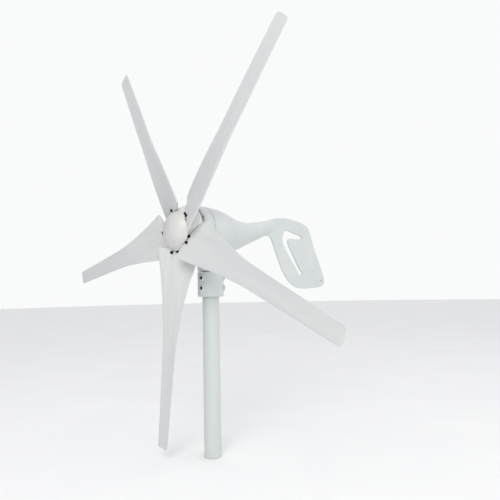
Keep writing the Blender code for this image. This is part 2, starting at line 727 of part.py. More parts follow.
def make_collar():
    """The clamp sleeve, with a boss round each of its set screws."""
    edge = 0.0035
    low = [(COLLAR_RADIUS - edge + edge * math.cos(a), COLLAR_BOTTOM + edge + edge * math.sin(a))
           for a in (math.radians(-90 * i / 2) for i in range(3))]
    plate_low = COLLAR_TOP - COLLAR_PLATE
    bore = MAST_RADIUS + GAP
    stem = YAW_SHAFT_RADIUS + GAP
    profile = [(COLLAR_RADIUS - 0.001, COLLAR_TOP), (COLLAR_RADIUS, COLLAR_TOP - 0.001)]
    profile += low
    profile += [(bore, COLLAR_BOTTOM), (bore, plate_low), (stem, plate_low),
                (stem, YAW_LOWER - GAP), (0.0160, YAW_LOWER - GAP), (0.0160, COLLAR_TOP)]
    collar = turned("yaw_collar", profile, BODY_PAINT, None, ROUND)
    bosses = []
    holes = []
    screws = []
    for angle in SET_SCREW_ANGLES:
        a = math.radians(angle)
        out = Vector((math.cos(a), math.sin(a), 0))
        for z in SET_SCREW_HEIGHTS:
            frame = along((0, 0, z), out)
            bosses.append(rod("boss", 0.0088, 0.030, 0.0405, None, frame, 12))
            holes.append(rod("hole", SET_SCREW_RADIUS + GAP, 0.018, 0.05, None, frame, SCREW_ROUND))
            screws.append((out, z))
    combine(collar, bosses, "UNION")
    combine(collar, holes)
    for i, (out, z) in enumerate(screws):
        foot = MAST_RADIUS + GAP
        length = 0.0130
        tip = 0.0030
        profile = [(0, length), (SET_SCREW_RADIUS - 0.0006, length),
                   (SET_SCREW_RADIUS, length - 0.0006), (SET_SCREW_RADIUS, 0.0015),
                   (tip, 0), (0, 0)]
        frame = along(out * foot + Vector((0, 0, z)), out)
        screw = turned(f"collar_screw_{i + 1}", profile, DARK_STEEL, frame, SCREW_ROUND)
        combine(screw, [rod("socket", 0.0028, 0.0085, 0.02, None, frame, 6)])


def make_yaw_shaft():
    """A stepped hollow spindle, flanged inside the top of the mast."""
    plate_low = COLLAR_TOP - COLLAR_PLATE
    profile = [(YAW_BORE, 0.5915), (YAW_STEP_RADIUS, 0.5915),
               (YAW_STEP_RADIUS, YAW_UPPER - GAP), (YAW_SHAFT_RADIUS, YAW_UPPER - GAP),
               (YAW_SHAFT_RADIUS, plate_low - GAP), (0.0205, plate_low - GAP),
               (0.0205, plate_low - 0.007), (YAW_BORE, plate_low - 0.007)]
    turned("yaw_shaft", profile, STEEL, None, SMALL_ROUND)
    for name, low, bore in (("yaw_bearing_lower", YAW_LOWER, YAW_SHAFT_RADIUS + GAP),
                            ("yaw_bearing_upper", YAW_UPPER, YAW_STEP_RADIUS + GAP)):
        make_bearing(name, Matrix.Identity(4), bore, 0.0157, 0.0203, YAW_RACE, low,
                     low + YAW_BEARING_HEIGHT, 7)
    ring("yaw_seal", 0.0163, YAW_RACE, NECK_BOTTOM + GAP, YAW_LOWER - GAP, RUBBER)
    seat = YAW_UPPER + YAW_BEARING_HEIGHT + GAP
    thickness = 0.006
    plate("yaw_nut", [circle(0.0180, 8), circle(YAW_STEP_RADIUS + GAP, SMALL_ROUND)],
          thickness, STEEL, Matrix.Translation((0, 0, seat + thickness / 2)))


SLIP_RING_HEIGHTS = (0.5690, 0.5765, 0.5840)
SLIP_RING_RADIUS = 0.0180


def make_slip_rings():
    """Three rings on a sleeve, with a brush for each."""
    sleeve = [(YAW_STEP_RADIUS + GAP, 0.5905), (0.0152, 0.5905), (0.0152, 0.5655),
              (0.0178, 0.5655), (0.0178, 0.5615), (YAW_STEP_RADIUS + GAP, 0.5615)]
    turned("slip_ring_drum", sleeve, RESIN, None, SMALL_ROUND)
    half = 0.0022
    brush_half = 0.0018
    holder = block("brush_holder", (-0.0090, 0.0215, 0.5655), (0.0090, 0.0342, 0.5885), RESIN)
    slots = []
    for i, z in enumerate(SLIP_RING_HEIGHTS):
        ring(f"slip_ring_{i + 1}", 0.0155, SLIP_RING_RADIUS, z - half, z + half, BRASS)
        reach = brush_half + GAP
        slots.append(block("slot", (-reach, 0.015, z - reach), (reach, 0.0310, z + reach)))
        block(f"brush_{i + 1}", (-brush_half, SLIP_RING_RADIUS + GAP, z - brush_half),
              (brush_half, 0.0305, z + brush_half), CARBON)
    combine(holder, slots)


make_mast()
make_collar()
make_yaw_shaft()
make_slip_rings()
make_rear_body()
make_front_shell()
make_bearing_plate()
make_rotor_bearings()
make_stator()
make_shaft()
make_magnet_rotor()
make_hub()
make_nose_cone()
for blade_number in range(BLADES):
    make_blade(blade_number)
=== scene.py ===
import math

import bmesh
import bpy
from mathutils import Matrix, Vector


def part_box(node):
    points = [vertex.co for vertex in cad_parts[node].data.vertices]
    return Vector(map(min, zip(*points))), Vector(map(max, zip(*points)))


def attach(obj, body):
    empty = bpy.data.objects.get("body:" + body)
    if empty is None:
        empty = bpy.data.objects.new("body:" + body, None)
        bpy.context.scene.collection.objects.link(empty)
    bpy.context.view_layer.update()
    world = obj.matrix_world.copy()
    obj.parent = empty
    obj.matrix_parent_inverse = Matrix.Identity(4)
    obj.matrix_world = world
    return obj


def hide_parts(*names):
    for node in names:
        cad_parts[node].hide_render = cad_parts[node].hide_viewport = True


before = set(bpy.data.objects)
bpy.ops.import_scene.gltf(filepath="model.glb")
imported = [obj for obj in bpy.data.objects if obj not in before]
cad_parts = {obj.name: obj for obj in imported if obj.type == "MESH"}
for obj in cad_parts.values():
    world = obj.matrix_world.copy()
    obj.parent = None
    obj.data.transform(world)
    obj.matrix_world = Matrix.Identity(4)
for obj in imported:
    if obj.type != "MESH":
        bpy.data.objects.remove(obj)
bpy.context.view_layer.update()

# ------------------------------------------------------------ driving sizes
CENTRE = Vector((0, -0.118, 0.626))
ROTOR_RADIUS = 0.600
BLADES = 5
FIRST_BLADE = math.radians(46.7)  # seen from the front, from +X

MAST_RADIUS = 0.024
MAST_WALL = 0.0025
COLLAR_RADIUS = 0.0372
COLLAR_BOTTOM = 0.444
COLLAR_TOP = 0.515
COLLAR_PLATE = 0.0067
BOSS_TOP = 0.0405                 # of a set screw's boss, from the mast's axis
BOSS_ROUND = 0.0088
SET_SCREW_RADIUS = 0.005
SET_SCREW_HEIGHTS = (0.469, 0.498)
SET_SCREW_ANGLES = (-82, 38, 158)

NECK_BOTTOM = COLLAR_TOP + 0.002
YAW_RACE = 0.0233
BODY_RADIUS = 0.075
BODY_WALL = 0.0055
SHELL_FRONT = 0.046
SEAM = 0.078
BODY_FRONT = 0.080
STATOR_RADIUS = 0.0645
BEARING_RADIUS = 0.0203
SHELL_SCREW_ANGLES = (30, 150, 270)
SHELL_SCREW_CIRCLE = 0.0697
SHELL_SCREW_SEAT = 0.0502

SHAFT_BORE = 0.0085
HUB_RADIUS = 0.075
HUB_BACK = 0.036
DOME_RADIUS = 0.055
DOME_HEIGHT = 0.030
DOME_WALL = 0.003
FIN_THICKNESS = 0.008
FIN_EDGE_ROUND = 0.0022

ROUND = 120                       # sides of the large turned pieces
SCREW_ROUND = 24


# ----------------------------------------------------------------- materials
def start_material(name):
    material = bpy.data.materials.new(name)
    material.use_nodes = True
    return material, material.node_tree, material.node_tree.nodes["Principled BSDF"]


def noise(tree, scale, detail=3.0, drawn=(1, 1, 1), turn=0.0):
    """Noise from 0 to 1, drawn out along X, Y or Z after a turn about Y."""
    place = tree.nodes.new("ShaderNodeTexCoord")
    squeeze = tree.nodes.new("ShaderNodeMapping")
    squeeze.vector_type = "TEXTURE"
    squeeze.inputs["Rotation"].default_value = (0, -turn, 0)
    squeeze.inputs["Scale"].default_value = drawn
    grain = tree.nodes.new("ShaderNodeTexNoise")
    grain.inputs["Scale"].default_value = scale
    grain.inputs["Detail"].default_value = detail
    tree.links.new(place.outputs["Object"], squeeze.inputs["Vector"])
    tree.links.new(squeeze.outputs["Vector"], grain.inputs["Vector"])
    return grain.outputs["Fac"]


def bands(tree, axis, scale, distortion=0.0):
    """Even bands from 0 to 1 across an axis of the piece."""
    place = tree.nodes.new("ShaderNodeTexCoord")
    wave = tree.nodes.new("ShaderNodeTexWave")
    wave.bands_direction = axis
    wave.inputs["Scale"].default_value = scale
    wave.inputs["Distortion"].default_value = distortion
    tree.links.new(place.outputs["Object"], wave.inputs["Vector"])
    return wave.outputs["Fac"]


def tint(tree, shader, value, dark, light, start=0.3, stop=0.7):
    ramp = tree.nodes.new("ShaderNodeValToRGB")
    ramp.color_ramp.elements[0].position = start
    ramp.color_ramp.elements[0].color = (*dark, 1)
    ramp.color_ramp.elements[1].position = stop
    ramp.color_ramp.elements[1].color = (*light, 1)
    tree.links.new(value, ramp.inputs["Fac"])
    tree.links.new(ramp.outputs["Color"], shader.inputs["Base Color"])


def polish(tree, shader, value, low, high):
    spread = tree.nodes.new("ShaderNodeMapRange")
    spread.inputs["From Min"].default_value = 0.3
    spread.inputs["From Max"].default_value = 0.7
    spread.inputs["To Min"].default_value = low
    spread.inputs["To Max"].default_value = high
    tree.links.new(value, spread.inputs["Value"])
    tree.links.new(spread.outputs["Result"], shader.inputs["Roughness"])


def relief(tree, shader, layers):
    """Bump from (value, height in metres) layers."""
    below = None
    for value, height in layers:
        bump = tree.nodes.new("ShaderNodeBump")
        bump.inputs["Strength"].default_value = 1.0
        bump.inputs["Distance"].default_value = height
        tree.links.new(value, bump.inputs["Height"])
        if below:
            tree.links.new(below, bump.inputs["Normal"])
        below = bump.outputs["Normal"]
    tree.links.new(below, shader.inputs["Normal"])


def painted(name, dark, light, drawn=(1, 1, 1), peel=0.000012, waves=0.00010):
    """Satin powder paint: soft mottling, orange peel and slow waves below it."""
    material, tree, shader = start_material(name)
    tint(tree, shader, noise(tree, 11, 4, drawn), dark, light)
    polish(tree, shader, noise(tree, 38, 3, drawn), 0.30, 0.42)
    relief(tree, shader, [(noise(tree, 70, 2, drawn), waves), (noise(tree, 900, 2), peel)])
    shader.inputs["Coat Weight"].default_value = 0.12
    shader.inputs["Coat Roughness"].default_value = 0.25
    return material


def moulded(name, dark, light, turn):
    """Filled nylon: flow lines along the blade and a fine etched skin."""
    material, tree, shader = start_material(name)
    drawn = (12, 1, 1)
    tint(tree, shader, noise(tree, 60, 4, drawn, turn), dark, light)
    polish(tree, shader, noise(tree, 45, 3, drawn, turn), 0.40, 0.54)
    flow = noise(tree, 80, 2, drawn, turn)
    relief(tree, shader, [(flow, 0.00005), (noise(tree, 1500, 2), 0.000010)])
    shader.inputs["Specular IOR Level"].default_value = 0.45
    return material


def metal(name, dark, light, rough, drawn, scale=60, height=0.000004, cloud=12):
    """Bare metal with tool marks drawn out along its turned or ground way."""
    material, tree, shader = start_material(name)
    shader.inputs["Metallic"].default_value = 1.0
    tint(tree, shader, noise(tree, cloud, 4), dark, light)
    marks = noise(tree, scale, 3, drawn)
    polish(tree, shader, marks, rough - 0.07, rough + 0.09)
    relief(tree, shader, [(marks, height)])
    return material


def stacked(name, dark, light, axis, scale, metallic, rough):
    """Laid-up layers, such as laminations or wound wire."""
    material, tree, shader = start_material(name)
    shader.inputs["Metallic"].default_value = metallic
    layers = bands(tree, axis, scale, 0.3)
    tint(tree, shader, layers, dark, light, 0.1, 0.6)
    polish(tree, shader, noise(tree, 90, 3), rough - 0.08, rough + 0.10)
    relief(tree, shader, [(layers, 0.0001)])
    return material


def plain_mould(name, dark, light, rough, height=0.00003, scale=500):
    """Rubber, resin or pressed carbon."""
    material, tree, shader = start_material(name)
    tint(tree, shader, noise(tree, 35, 4), dark, light)
    polish(tree, shader, noise(tree, 120, 3), rough - 0.08, rough + 0.10)
    relief(tree, shader, [(noise(tree, scale, 3), height)])
    return material


ROUND_Y = (40, 1, 40)             # tool marks round a turned piece
ROUND_Z = (40, 40, 1)

BODY_PAINT = painted("body_paint", (0.600, 0.632, 0.630), (0.645, 0.677, 0.672))
MAST_PAINT = painted("mast_paint", (0.575, 0.612, 0.590), (0.620, 0.655, 0.635), (1, 1, 8))
# Painted light: the hub has the body's white paint, made lighter here so the drum's wedges still look
# bright where they lie in the blades' shade.
HUB_PAINT_LIGHTENED_FOR_SHADE = painted("hub_paint_lightened_for_shade", (0.700, 0.712, 0.700), (0.745, 0.757, 0.742))
DOME_PAINT = painted("dome_paint", (0.610, 0.612, 0.585), (0.650, 0.652, 0.622))
BLADE_ANGLES = [FIRST_BLADE + 2 * math.pi * n / BLADES for n in range(BLADES)]
BLADE_NYLON = [moulded(f"blade_nylon_{n + 1}", (0.655, 0.668, 0.655), (0.700, 0.712, 0.697), a)
               for n, a in enumerate(BLADE_ANGLES)]
# Black steel. On the blade bolts it is also painted shade: the heads are darkened to stand in for the
# shade in their sockets and in the dome's notches round them.
DARK_STEEL_AND_SHADE = metal("dark_steel", (0.020, 0.020, 0.022), (0.045, 0.045, 0.048), 0.42, (1, 1, 1), 300)
BALL_STEEL = metal("ball_steel", (0.56, 0.56, 0.57), (0.64, 0.64, 0.65), 0.20, (1, 1, 1), 200)
STEEL_Y = metal("turned_steel_y", (0.54, 0.54, 0.55), (0.62, 0.62, 0.63), 0.30, ROUND_Y, 900)
STEEL_Z = metal("turned_steel_z", (0.54, 0.54, 0.55), (0.62, 0.62, 0.63), 0.30, ROUND_Z, 900)
CAST_METAL = metal("cast_metal", (0.48, 0.49, 0.50), (0.57, 0.58, 0.59), 0.50, (1, 1, 1), 420, 0.00004)
BRASS = metal("brass_ring", (0.68, 0.50, 0.22), (0.80, 0.62, 0.30), 0.25, ROUND_Z, 900)
IRON = stacked("laminated_iron", (0.10, 0.10, 0.11), (0.26, 0.26, 0.27), "Y", 320, 1.0, 0.50)
COPPER = stacked("copper_wire", (0.42, 0.16, 0.07), (0.74, 0.34, 0.17), "DIAGONAL", 260, 1.0, 0.32)
RUBBER = plain_mould("seal_rubber", (0.018, 0.018, 0.019), (0.035, 0.035, 0.036), 0.68)
RESIN = plain_mould("insulating_resin", (0.07, 0.07, 0.08), (0.12, 0.12, 0.13), 0.50)
CARBON = plain_mould("brush_carbon", (0.030, 0.030, 0.031), (0.060, 0.060, 0.062), 0.58, 0.00005, 900)


# ---------------------------------------------------------------- modelling
def skin(work, rows, loop=False, caps=False):
    """Add faces over rows of points; a row of one point closes the skin there."""
    made = [[work.verts.new(p) for p in row] for row in rows]
    followers = made[1:] + made[:1] if loop else made[1:]
    for a, b in zip(made, followers):
        for i in range(max(len(a), len(b))):
            j = i + 1
            corners = (a[i % len(a)], a[j % len(a)], b[j % len(b)], b[i % len(b)])
            work.faces.new(list(dict.fromkeys(corners)))
    if caps:
        work.faces.new(made[0])
        work.faces.new(made[-1])
    return made


def rounded(points, radius, steps=4, closed=False):
    """Round the corners of an outline, as far as its sides have room."""
    out = []
    last = len(points) - 1
    for i, point in enumerate(points):
        if not closed and i in (0, last):
            out.append(point)
            continue
        here = Vector(point)
        before = Vector(points[i - 1]) - here
        after = Vector(points[(i + 1) % len(points)]) - here
        back = here + before.normalized() * min(radius, 0.45 * before.length)
        on = here + after.normalized() * min(radius, 0.45 * after.length)
        for k in range(steps + 1):
            t = k / steps
            out.append(tuple(back * (1 - t) ** 2 + here * 2 * t * (1 - t) + on * t * t))
    return out


def lathe(work, profile, matrix=None, sides=ROUND, loop=False):
    """Turn (radius, height) points about the matrix's Z axis."""
    matrix = matrix or Matrix.Identity(4)
    rows = []
    for radius, height in profile:
        if radius < 1e-6:
            rows.append([matrix @ Vector((0, 0, height))])
        else:
            rows.append([matrix @ Vector((radius * math.cos(a), radius * math.sin(a), height))
                         for a in (2 * math.pi * i / sides for i in range(sides))])
    return skin(work, rows, loop)


def piece(name, work, material, matrix=None, angle=32):
    """An object from a bmesh, smooth but for its edges sharper than the angle."""
    bmesh.ops.recalc_face_normals(work, faces=work.faces)
    mesh = bpy.data.meshes.new(name)
    work.to_mesh(mesh)
    work.free()
    mesh.materials.append(material)
    mesh.shade_smooth()
    mesh.set_sharp_from_angle(angle=math.radians(angle))
    item = bpy.data.objects.new(name, mesh)
    bpy.context.scene.collection.objects.link(item)
    if matrix:
        item.matrix_world = matrix
    return item


def stand_in(item, body, node):
    """The piece moves with the body and shows in place of the CAD node."""
    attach(item, body)
    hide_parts(node)
    return item


def cut(item, tools, bevel=0.0, angle=32):
    """Cut the tools out, one at a time, then soften the sharp edges left."""
    material = item.data.materials[0]

    def settle():
        bpy.context.view_layer.update()
        graph = bpy.context.evaluated_depsgraph_get()
        mesh = bpy.data.meshes.new_from_object(item.evaluated_get(graph))
        work = bmesh.new()
        work.from_mesh(mesh)
        bmesh.ops.remove_doubles(work, verts=work.verts, dist=5e-6)
        bmesh.ops.dissolve_degenerate(work, edges=work.edges, dist=5e-6)
        work.to_mesh(mesh)
        work.free()
        item.modifiers.clear()
        item.data = mesh
        mesh.materials.clear()
        mesh.materials.append(material)
        mesh.shade_smooth()
        mesh.set_sharp_from_angle(angle=math.radians(angle))

    for tool in tools:
        step = item.modifiers.new("cut", "BOOLEAN")
        step.operation = "DIFFERENCE"
        step.solver = "EXACT"
        step.object = tool
        settle()
        bpy.data.objects.remove(tool, do_unlink=True)
    if bevel:
        step = item.modifiers.new("edges", "BEVEL")
        step.width = bevel
        step.segments = 3
        step.limit_method = "ANGLE"
        step.angle_limit = math.radians(38)
        step.harden_normals = True
        settle()
    return item


def rod(radius, low, high, matrix=None, sides=48):
    """A cutter: a cylinder along the matrix's Z axis."""
    work = bmesh.new()
    lathe(work, [(0, high), (radius, high), (radius, low), (0, low)], matrix, sides)
    return piece("cutter", work, BODY_PAINT)


def outward(angle):
    """Level, away from the mast's axis, at an angle in degrees from +X."""
    a = math.radians(angle)
    return Vector((math.cos(a), math.sin(a), 0))


def along(point, direction):
    """A matrix at the point, with its Z axis along the direction."""
    turn = Vector((0, 0, 1)).rotation_difference(Vector(direction).normalized())
    return Matrix.Translation(Vector(point)) @ turn.to_matrix().to_4x4()


ROTOR = Matrix.Translation(CENTRE) @ Matrix.Rotation(math.radians(-90), 4, "X")


def between(x, knots):
    """A smooth value at x through (x, value) knots, flat outside them."""
    if x <= knots[0][0]:
        return knots[0][1]
    if x >= knots[-1][0]:
        return knots[-1][1]
    slopes = []
    for i in range(len(knots)):
        a = knots[max(i - 1, 0)]
        b = knots[min(i + 1, len(knots) - 1)]
        slopes.append((b[1] - a[1]) / (b[0] - a[0]))
    for i, (a, b) in enumerate(zip(knots, knots[1:])):
        if a[0] <= x <= b[0]:
            h = b[0] - a[0]
            t = (x - a[0]) / h
            return ((2 * t ** 3 - 3 * t ** 2 + 1) * a[1]
                    + (t ** 3 - 2 * t ** 2 + t) * h * slopes[i]
                    + (3 * t ** 2 - 2 * t ** 3) * b[1]
                    + (t ** 3 - t ** 2) * h * slopes[i + 1])


def hexagon(radius, a):
    """Distance to a hexagon's side at an angle, its corners at the radius."""
    side = math.pi / 3
    return radius * math.cos(side / 2) / math.cos((a + side / 2) % side - side / 2)


def socket_screw(work, head, height, shank, length, socket, depth):
    """A socket screw with its head's underside at zero and its head up Z."""
    turns = [2 * math.pi * i / SCREW_ROUND for i in range(SCREW_ROUND)]
    edge = 0.14 * head
    outline = [(shank - 0.0004, -length), (shank, 0.0005 - length), (shank, 0.0)]
    if head > shank:
        outline += [(head - 0.0002, 0.0)]
    outline += [(head, 0.0002)]
    outline += [(head - edge + edge * math.cos(t), height - edge + edge * math.sin(t))
                for t in (math.radians(22.5 * k) for k in range(5))]
    rows = [[Vector((0, 0, -length))]]
    rows += [[Vector((r * math.cos(a), r * math.sin(a), z)) for a in turns] for r, z in outline]
    for radius, z in ((socket + 0.0002, height), (socket, height - 0.0002), (socket, height - depth)):
        rows.append([Vector((hexagon(radius, a) * math.cos(a), hexagon(radius, a) * math.sin(a), z))
                     for a in turns])
    rows.append([Vector((0, 0, height - depth - 0.3 * socket))])
    skin(work, rows)


# -------------------------------------------------------------------- blades
TIP_WIDTH = 0.043
TAPER = 0.050
FLARE = 0.076
FLARE_END = 0.320
ROOT_PITCH = math.radians(27)
PITCH_LENGTH = 0.200
ROOT_STATION = 0.0495
CHAMFER_START = 0.018
CHAMFER_SLOPE = 0.5
CHAMFER_FADE = 0.120
SEAT_STATION = 0.058
SEAT_DEPTH = 0.0075
BOLT_PLACES = ((0.0555, -0.002), (0.0600, 0.0155))
BOLT_HEAD = 0.0042
BOLT_HEAD_HEIGHT = 0.0045
BOLT_SHANK = 0.0025
BOLT_LENGTH = 0.018
BOSS_RADIUS = 0.0062
BOSS_HEIGHT = 0.0052
BLADE_HALF = 22                   # points on each face of a section
BLADE_ROWS = 76
END_ROUND = 0.0013                # at the blade's root and tip faces
TIP_LEAD_ROUND = 0.005            # corners of the tip, seen from the front
TIP_TRAIL_ROUND = 0.014


def blade_width(s):
    flare = FLARE * max(0.0, 1 - s / FLARE_END) ** 1.5
    return TIP_WIDTH + TAPER * (ROTOR_RADIUS - s) + flare


def blade_pitch(s):
    return ROOT_PITCH * math.exp(-(s / PITCH_LENGTH) ** 1.5)


def blade_thickness(s):
    return 0.0042 + 0.0056 * max(0.0, 1 - s / ROTOR_RADIUS) ** 1.5


def blade_camber(s):
    return 0.008 + 0.027 * min(1.0, max(0.0, (s - 0.06) / 0.12))


def chord_middle(s):
    """Where a section's chord has its middle: across and forward."""
    chord = blade_width(s) / math.cos(blade_pitch(s))
    across = -0.001 - 0.003 * max(0.0, 1 - s / 0.15)
    return across, -0.2 * chord * math.sin(blade_pitch(s)) - 0.0015


def tip_trim(s, radius):
    inside = s - (ROTOR_RADIUS - radius)
    if inside <= 0:
        return 0.0
    return radius - math.sqrt(max(0.0, radius ** 2 - inside ** 2))


def blade_place(s, u, side, shrink):
    """A section's point at s: u from leading to trailing edge, side 1 in front."""
    pitch = blade_pitch(s)
    chord = blade_width(s) / math.cos(pitch)
    across, forward = chord_middle(s)
    lead = 0.5 * chord - tip_trim(s, TIP_LEAD_ROUND) - shrink
    trail = -0.5 * chord + tip_trim(s, TIP_TRAIL_ROUND) + shrink
    c = lead + (trail - lead) * u
    half = 5 * blade_thickness(s) * (0.2969 * math.sqrt(u) - 0.1260 * u
                                     - 0.3516 * u ** 2 + 0.2843 * u ** 3
                                     - 0.1036 * u ** 4) + 0.0006 * u
    half = max(half - shrink, 0.25 * half)
    v = side * half - 4 * blade_camber(s) * u * (1 - u) * chord
    return (across + c * math.cos(pitch) - v * math.sin(pitch),
            forward + c * math.sin(pitch) + v * math.cos(pitch))


def blade_row(s):
    """One section as points (along, forward, across)."""
    shrink = 0.0
    for inside in (s - ROOT_STATION, ROTOR_RADIUS - s):
        if inside < END_ROUND:
            depth = END_ROUND - max(inside, 0.0)
            shrink = END_ROUND - math.sqrt(END_ROUND ** 2 - depth ** 2)
    steps = [0.5 * (1 - math.cos(math.pi * i / BLADE_HALF)) for i in range(BLADE_HALF + 1)]
    fade = max(0.0, (CHAMFER_FADE - s) / (CHAMFER_FADE - ROOT_STATION))
    row = []
    for u, side in [(u, 1) for u in steps] + [(u, -1) for u in reversed(steps[1:])]:
        behind = max(0.0, -CHAMFER_START - blade_place(s, u, side, shrink)[0])
        station = min(s + CHAMFER_SLOPE * behind * fade, ROTOR_RADIUS)
        across, forward = blade_place(station, u, side, shrink)
        row.append(Vector((station, forward, across)))
    return row


def blade_matrix(number):
    """X out along the blade, Y forward, Z towards its leading edge."""
    a = BLADE_ANGLES[number]
    out = Vector((math.cos(a), 0, math.sin(a)))
    front = Vector((0, -1, 0))
    matrix = Matrix((out, front, out.cross(front))).transposed().to_4x4()
    matrix.translation = CENTRE
    return matrix


def root_matrix():
    """In the blade's own frame: Y square to the root's chord, Z up the chord."""
    pitch = blade_pitch(SEAT_STATION)
    across, forward = chord_middle(SEAT_STATION)
    lift = Matrix.Translation((0, forward - across * math.tan(pitch), 0))
    return lift @ Matrix.Rotation(-pitch, 4, "X")


def bolt_matrices():
    """Z out of each bolt's head, zero on the root's chord plane."""
    upright = Matrix.Rotation(math.radians(-90), 4, "X")
    return [root_matrix() @ Matrix.Translation((s, 0, c)) @ upright for s, c in BOLT_PLACES]


def root_prism(number, clearance, low, high):
    """A flat-bottomed cutter over a blade's root, open outwards."""
    start = ROOT_STATION - clearance
    wide = 0.095
    knee = -CHAMFER_START - 3 * clearance
    far = start + 0.9 * CHAMFER_SLOPE * (wide + knee)
    outline = [(start, wide), (start, knee), (far, -wide), (0.130, -wide), (0.130, wide)]
    place = blade_matrix(number) @ root_matrix()
    work = bmesh.new()
    skin(work, [[place @ Vector((s, h, c)) for s, c in outline] for h in (low, high)], caps=True)
    return piece("cutter", work, BODY_PAINT)


def blade_stations():
    """Rows close together at the root and tip faces and corners."""
    ends = [END_ROUND * (1 - math.cos(math.pi / 2 * k / 4)) for k in range(4)]
    start = ROOT_STATION + END_ROUND
    stop = ROTOR_RADIUS - TIP_TRAIL_ROUND
    inner = [start + (stop - start) * (i / BLADE_ROWS) ** 1.25 for i in range(BLADE_ROWS + 1)]
    corner = [stop + (TIP_TRAIL_ROUND - END_ROUND) * math.sin(math.pi / 2 * k / 9)
              for k in range(1, 10)]
    return [ROOT_STATION + e for e in ends] + inner + corner + [
        ROTOR_RADIUS - e for e in reversed(ends)]


def make_blade(number):
    """A moulded blade with a boss for each of its two bolts."""
    work = bmesh.new()
    skin(work, [blade_row(s) for s in blade_stations()], caps=True)
    boss = [(0.0027, -0.004), (0.0027, BOSS_HEIGHT), (BOSS_RADIUS, BOSS_HEIGHT),
            (BOSS_RADIUS, 0.0042), (0.0080, 0.0026), (0.0080, -0.0010),
            (BOSS_RADIUS, -0.0026), (BOSS_RADIUS, 0.0003 - SEAT_DEPTH), (0.0027, 0.0003 - SEAT_DEPTH)]
    for matrix in bolt_matrices():
        lathe(work, rounded(boss, 0.0007, 3), matrix, 40)
    bmesh.ops.transform(work, matrix=blade_matrix(number), verts=work.verts)
    blade = piece(f"blade_surface_{number + 1}", work, BLADE_NYLON[number])
    stand_in(blade, "rotor", f"blade_{number + 1}")


def make_blade_bolts():
    work = bmesh.new()
    socket_screw(work, BOLT_HEAD, BOLT_HEAD_HEIGHT, BOLT_SHANK, BOLT_LENGTH, 0.0024, 0.0022)
    # Painted shade: the bolt heads are black, so that they also show the shade in their sockets and in
    # the dome's notches.
    shared = piece("blade_bolt_pattern", work, DARK_STEEL_AND_SHADE)
    lift = Matrix.Translation((0, 0, BOSS_HEIGHT + 0.0003))
    for number in range(BLADES):
        for i, matrix in enumerate(bolt_matrices()):
            bolt = bpy.data.objects.new(f"blade_bolt_fine_{number + 1}_{i + 1}", shared.data)
            bpy.context.scene.collection.objects.link(bolt)
            bolt.matrix_world = blade_matrix(number) @ matrix @ lift
            stand_in(bolt, "rotor", f"blade_bolt_{number + 1}_{i + 1}")
    bpy.data.objects.remove(shared, do_unlink=True)


# ------------------------------------------------------------- hub and dome
def make_hub():
    """A cast drum with a pitched flat seat for each blade."""
    profile = [(SHAFT_BORE, 0.002), (0.0530, 0.002), (0.0545, 0.0025), (0.0660, 0.014),
               (0.0735, 0.028), (HUB_RADIUS, 0.032), (HUB_RADIUS, HUB_BACK),
               (0.0700, HUB_BACK), (0.0680, 0.033), (0.0460, 0.033), (0.0440, 0.014),
               (0.0250, 0.014), (0.0220, 0.043), (SHAFT_BORE, 0.043)]
    work = bmesh.new()
    lathe(work, rounded(profile, 0.0012, 3, True), ROTOR, ROUND, True)
    hub = piece("hub_casting", work, HUB_PAINT_LIGHTENED_FOR_SHADE)
    cut(hub, [root_prism(n, 0.0008, -SEAT_DEPTH, 0.07) for n in range(BLADES)], 0.0005)
    stand_in(hub, "rotor", "hub")


def dome_arc(base, height, start, steps):
    """A spherical cap from an angle off its axis out to its rim."""
    radius = (base ** 2 + height ** 2) / (2 * height)
    stop = math.asin(base / radius)
    turns = [start + (stop - start) * i / steps for i in range(steps + 1)]
    return [(radius * math.sin(a), -height + radius * (1 - math.cos(a))) for a in turns]


def make_dome():
    base = DOME_RADIUS - DOME_WALL
    inner = dome_arc(base, DOME_HEIGHT - DOME_WALL, 0.16, 10)
    boss = inner[0][0]
    rim = [(DOME_RADIUS, 0.0007), (DOME_RADIUS - 0.0003, 0.0014), (DOME_RADIUS - 0.001, 0.0017),
           (base, 0.0017)]
    profile = dome_arc(DOME_RADIUS, DOME_HEIGHT, 0.0, 28) + rim + list(reversed(inner))
    profile += [(boss, -0.0115), (0.0063, -0.0115), (0.0063, -0.0205), (0, -0.0205)]
    work = bmesh.new()
    lathe(work, profile, ROTOR)
    dome = piece("nose_dome", work, DOME_PAINT)
    cut(dome, [root_prism(n, 0.0010, -SEAT_DEPTH, BOSS_HEIGHT + 0.0008) for n in range(BLADES)])
    top = BOSS_HEIGHT + BOLT_HEAD_HEIGHT + 0.002
    notches = [rod(BOLT_HEAD + 0.0010, 0.0, top, blade_matrix(n) @ matrix, 32)
               for n in range(BLADES) for matrix in bolt_matrices()]
    cut(dome, notches, 0.0003)
    stand_in(dome, "rotor", "nose_cone")


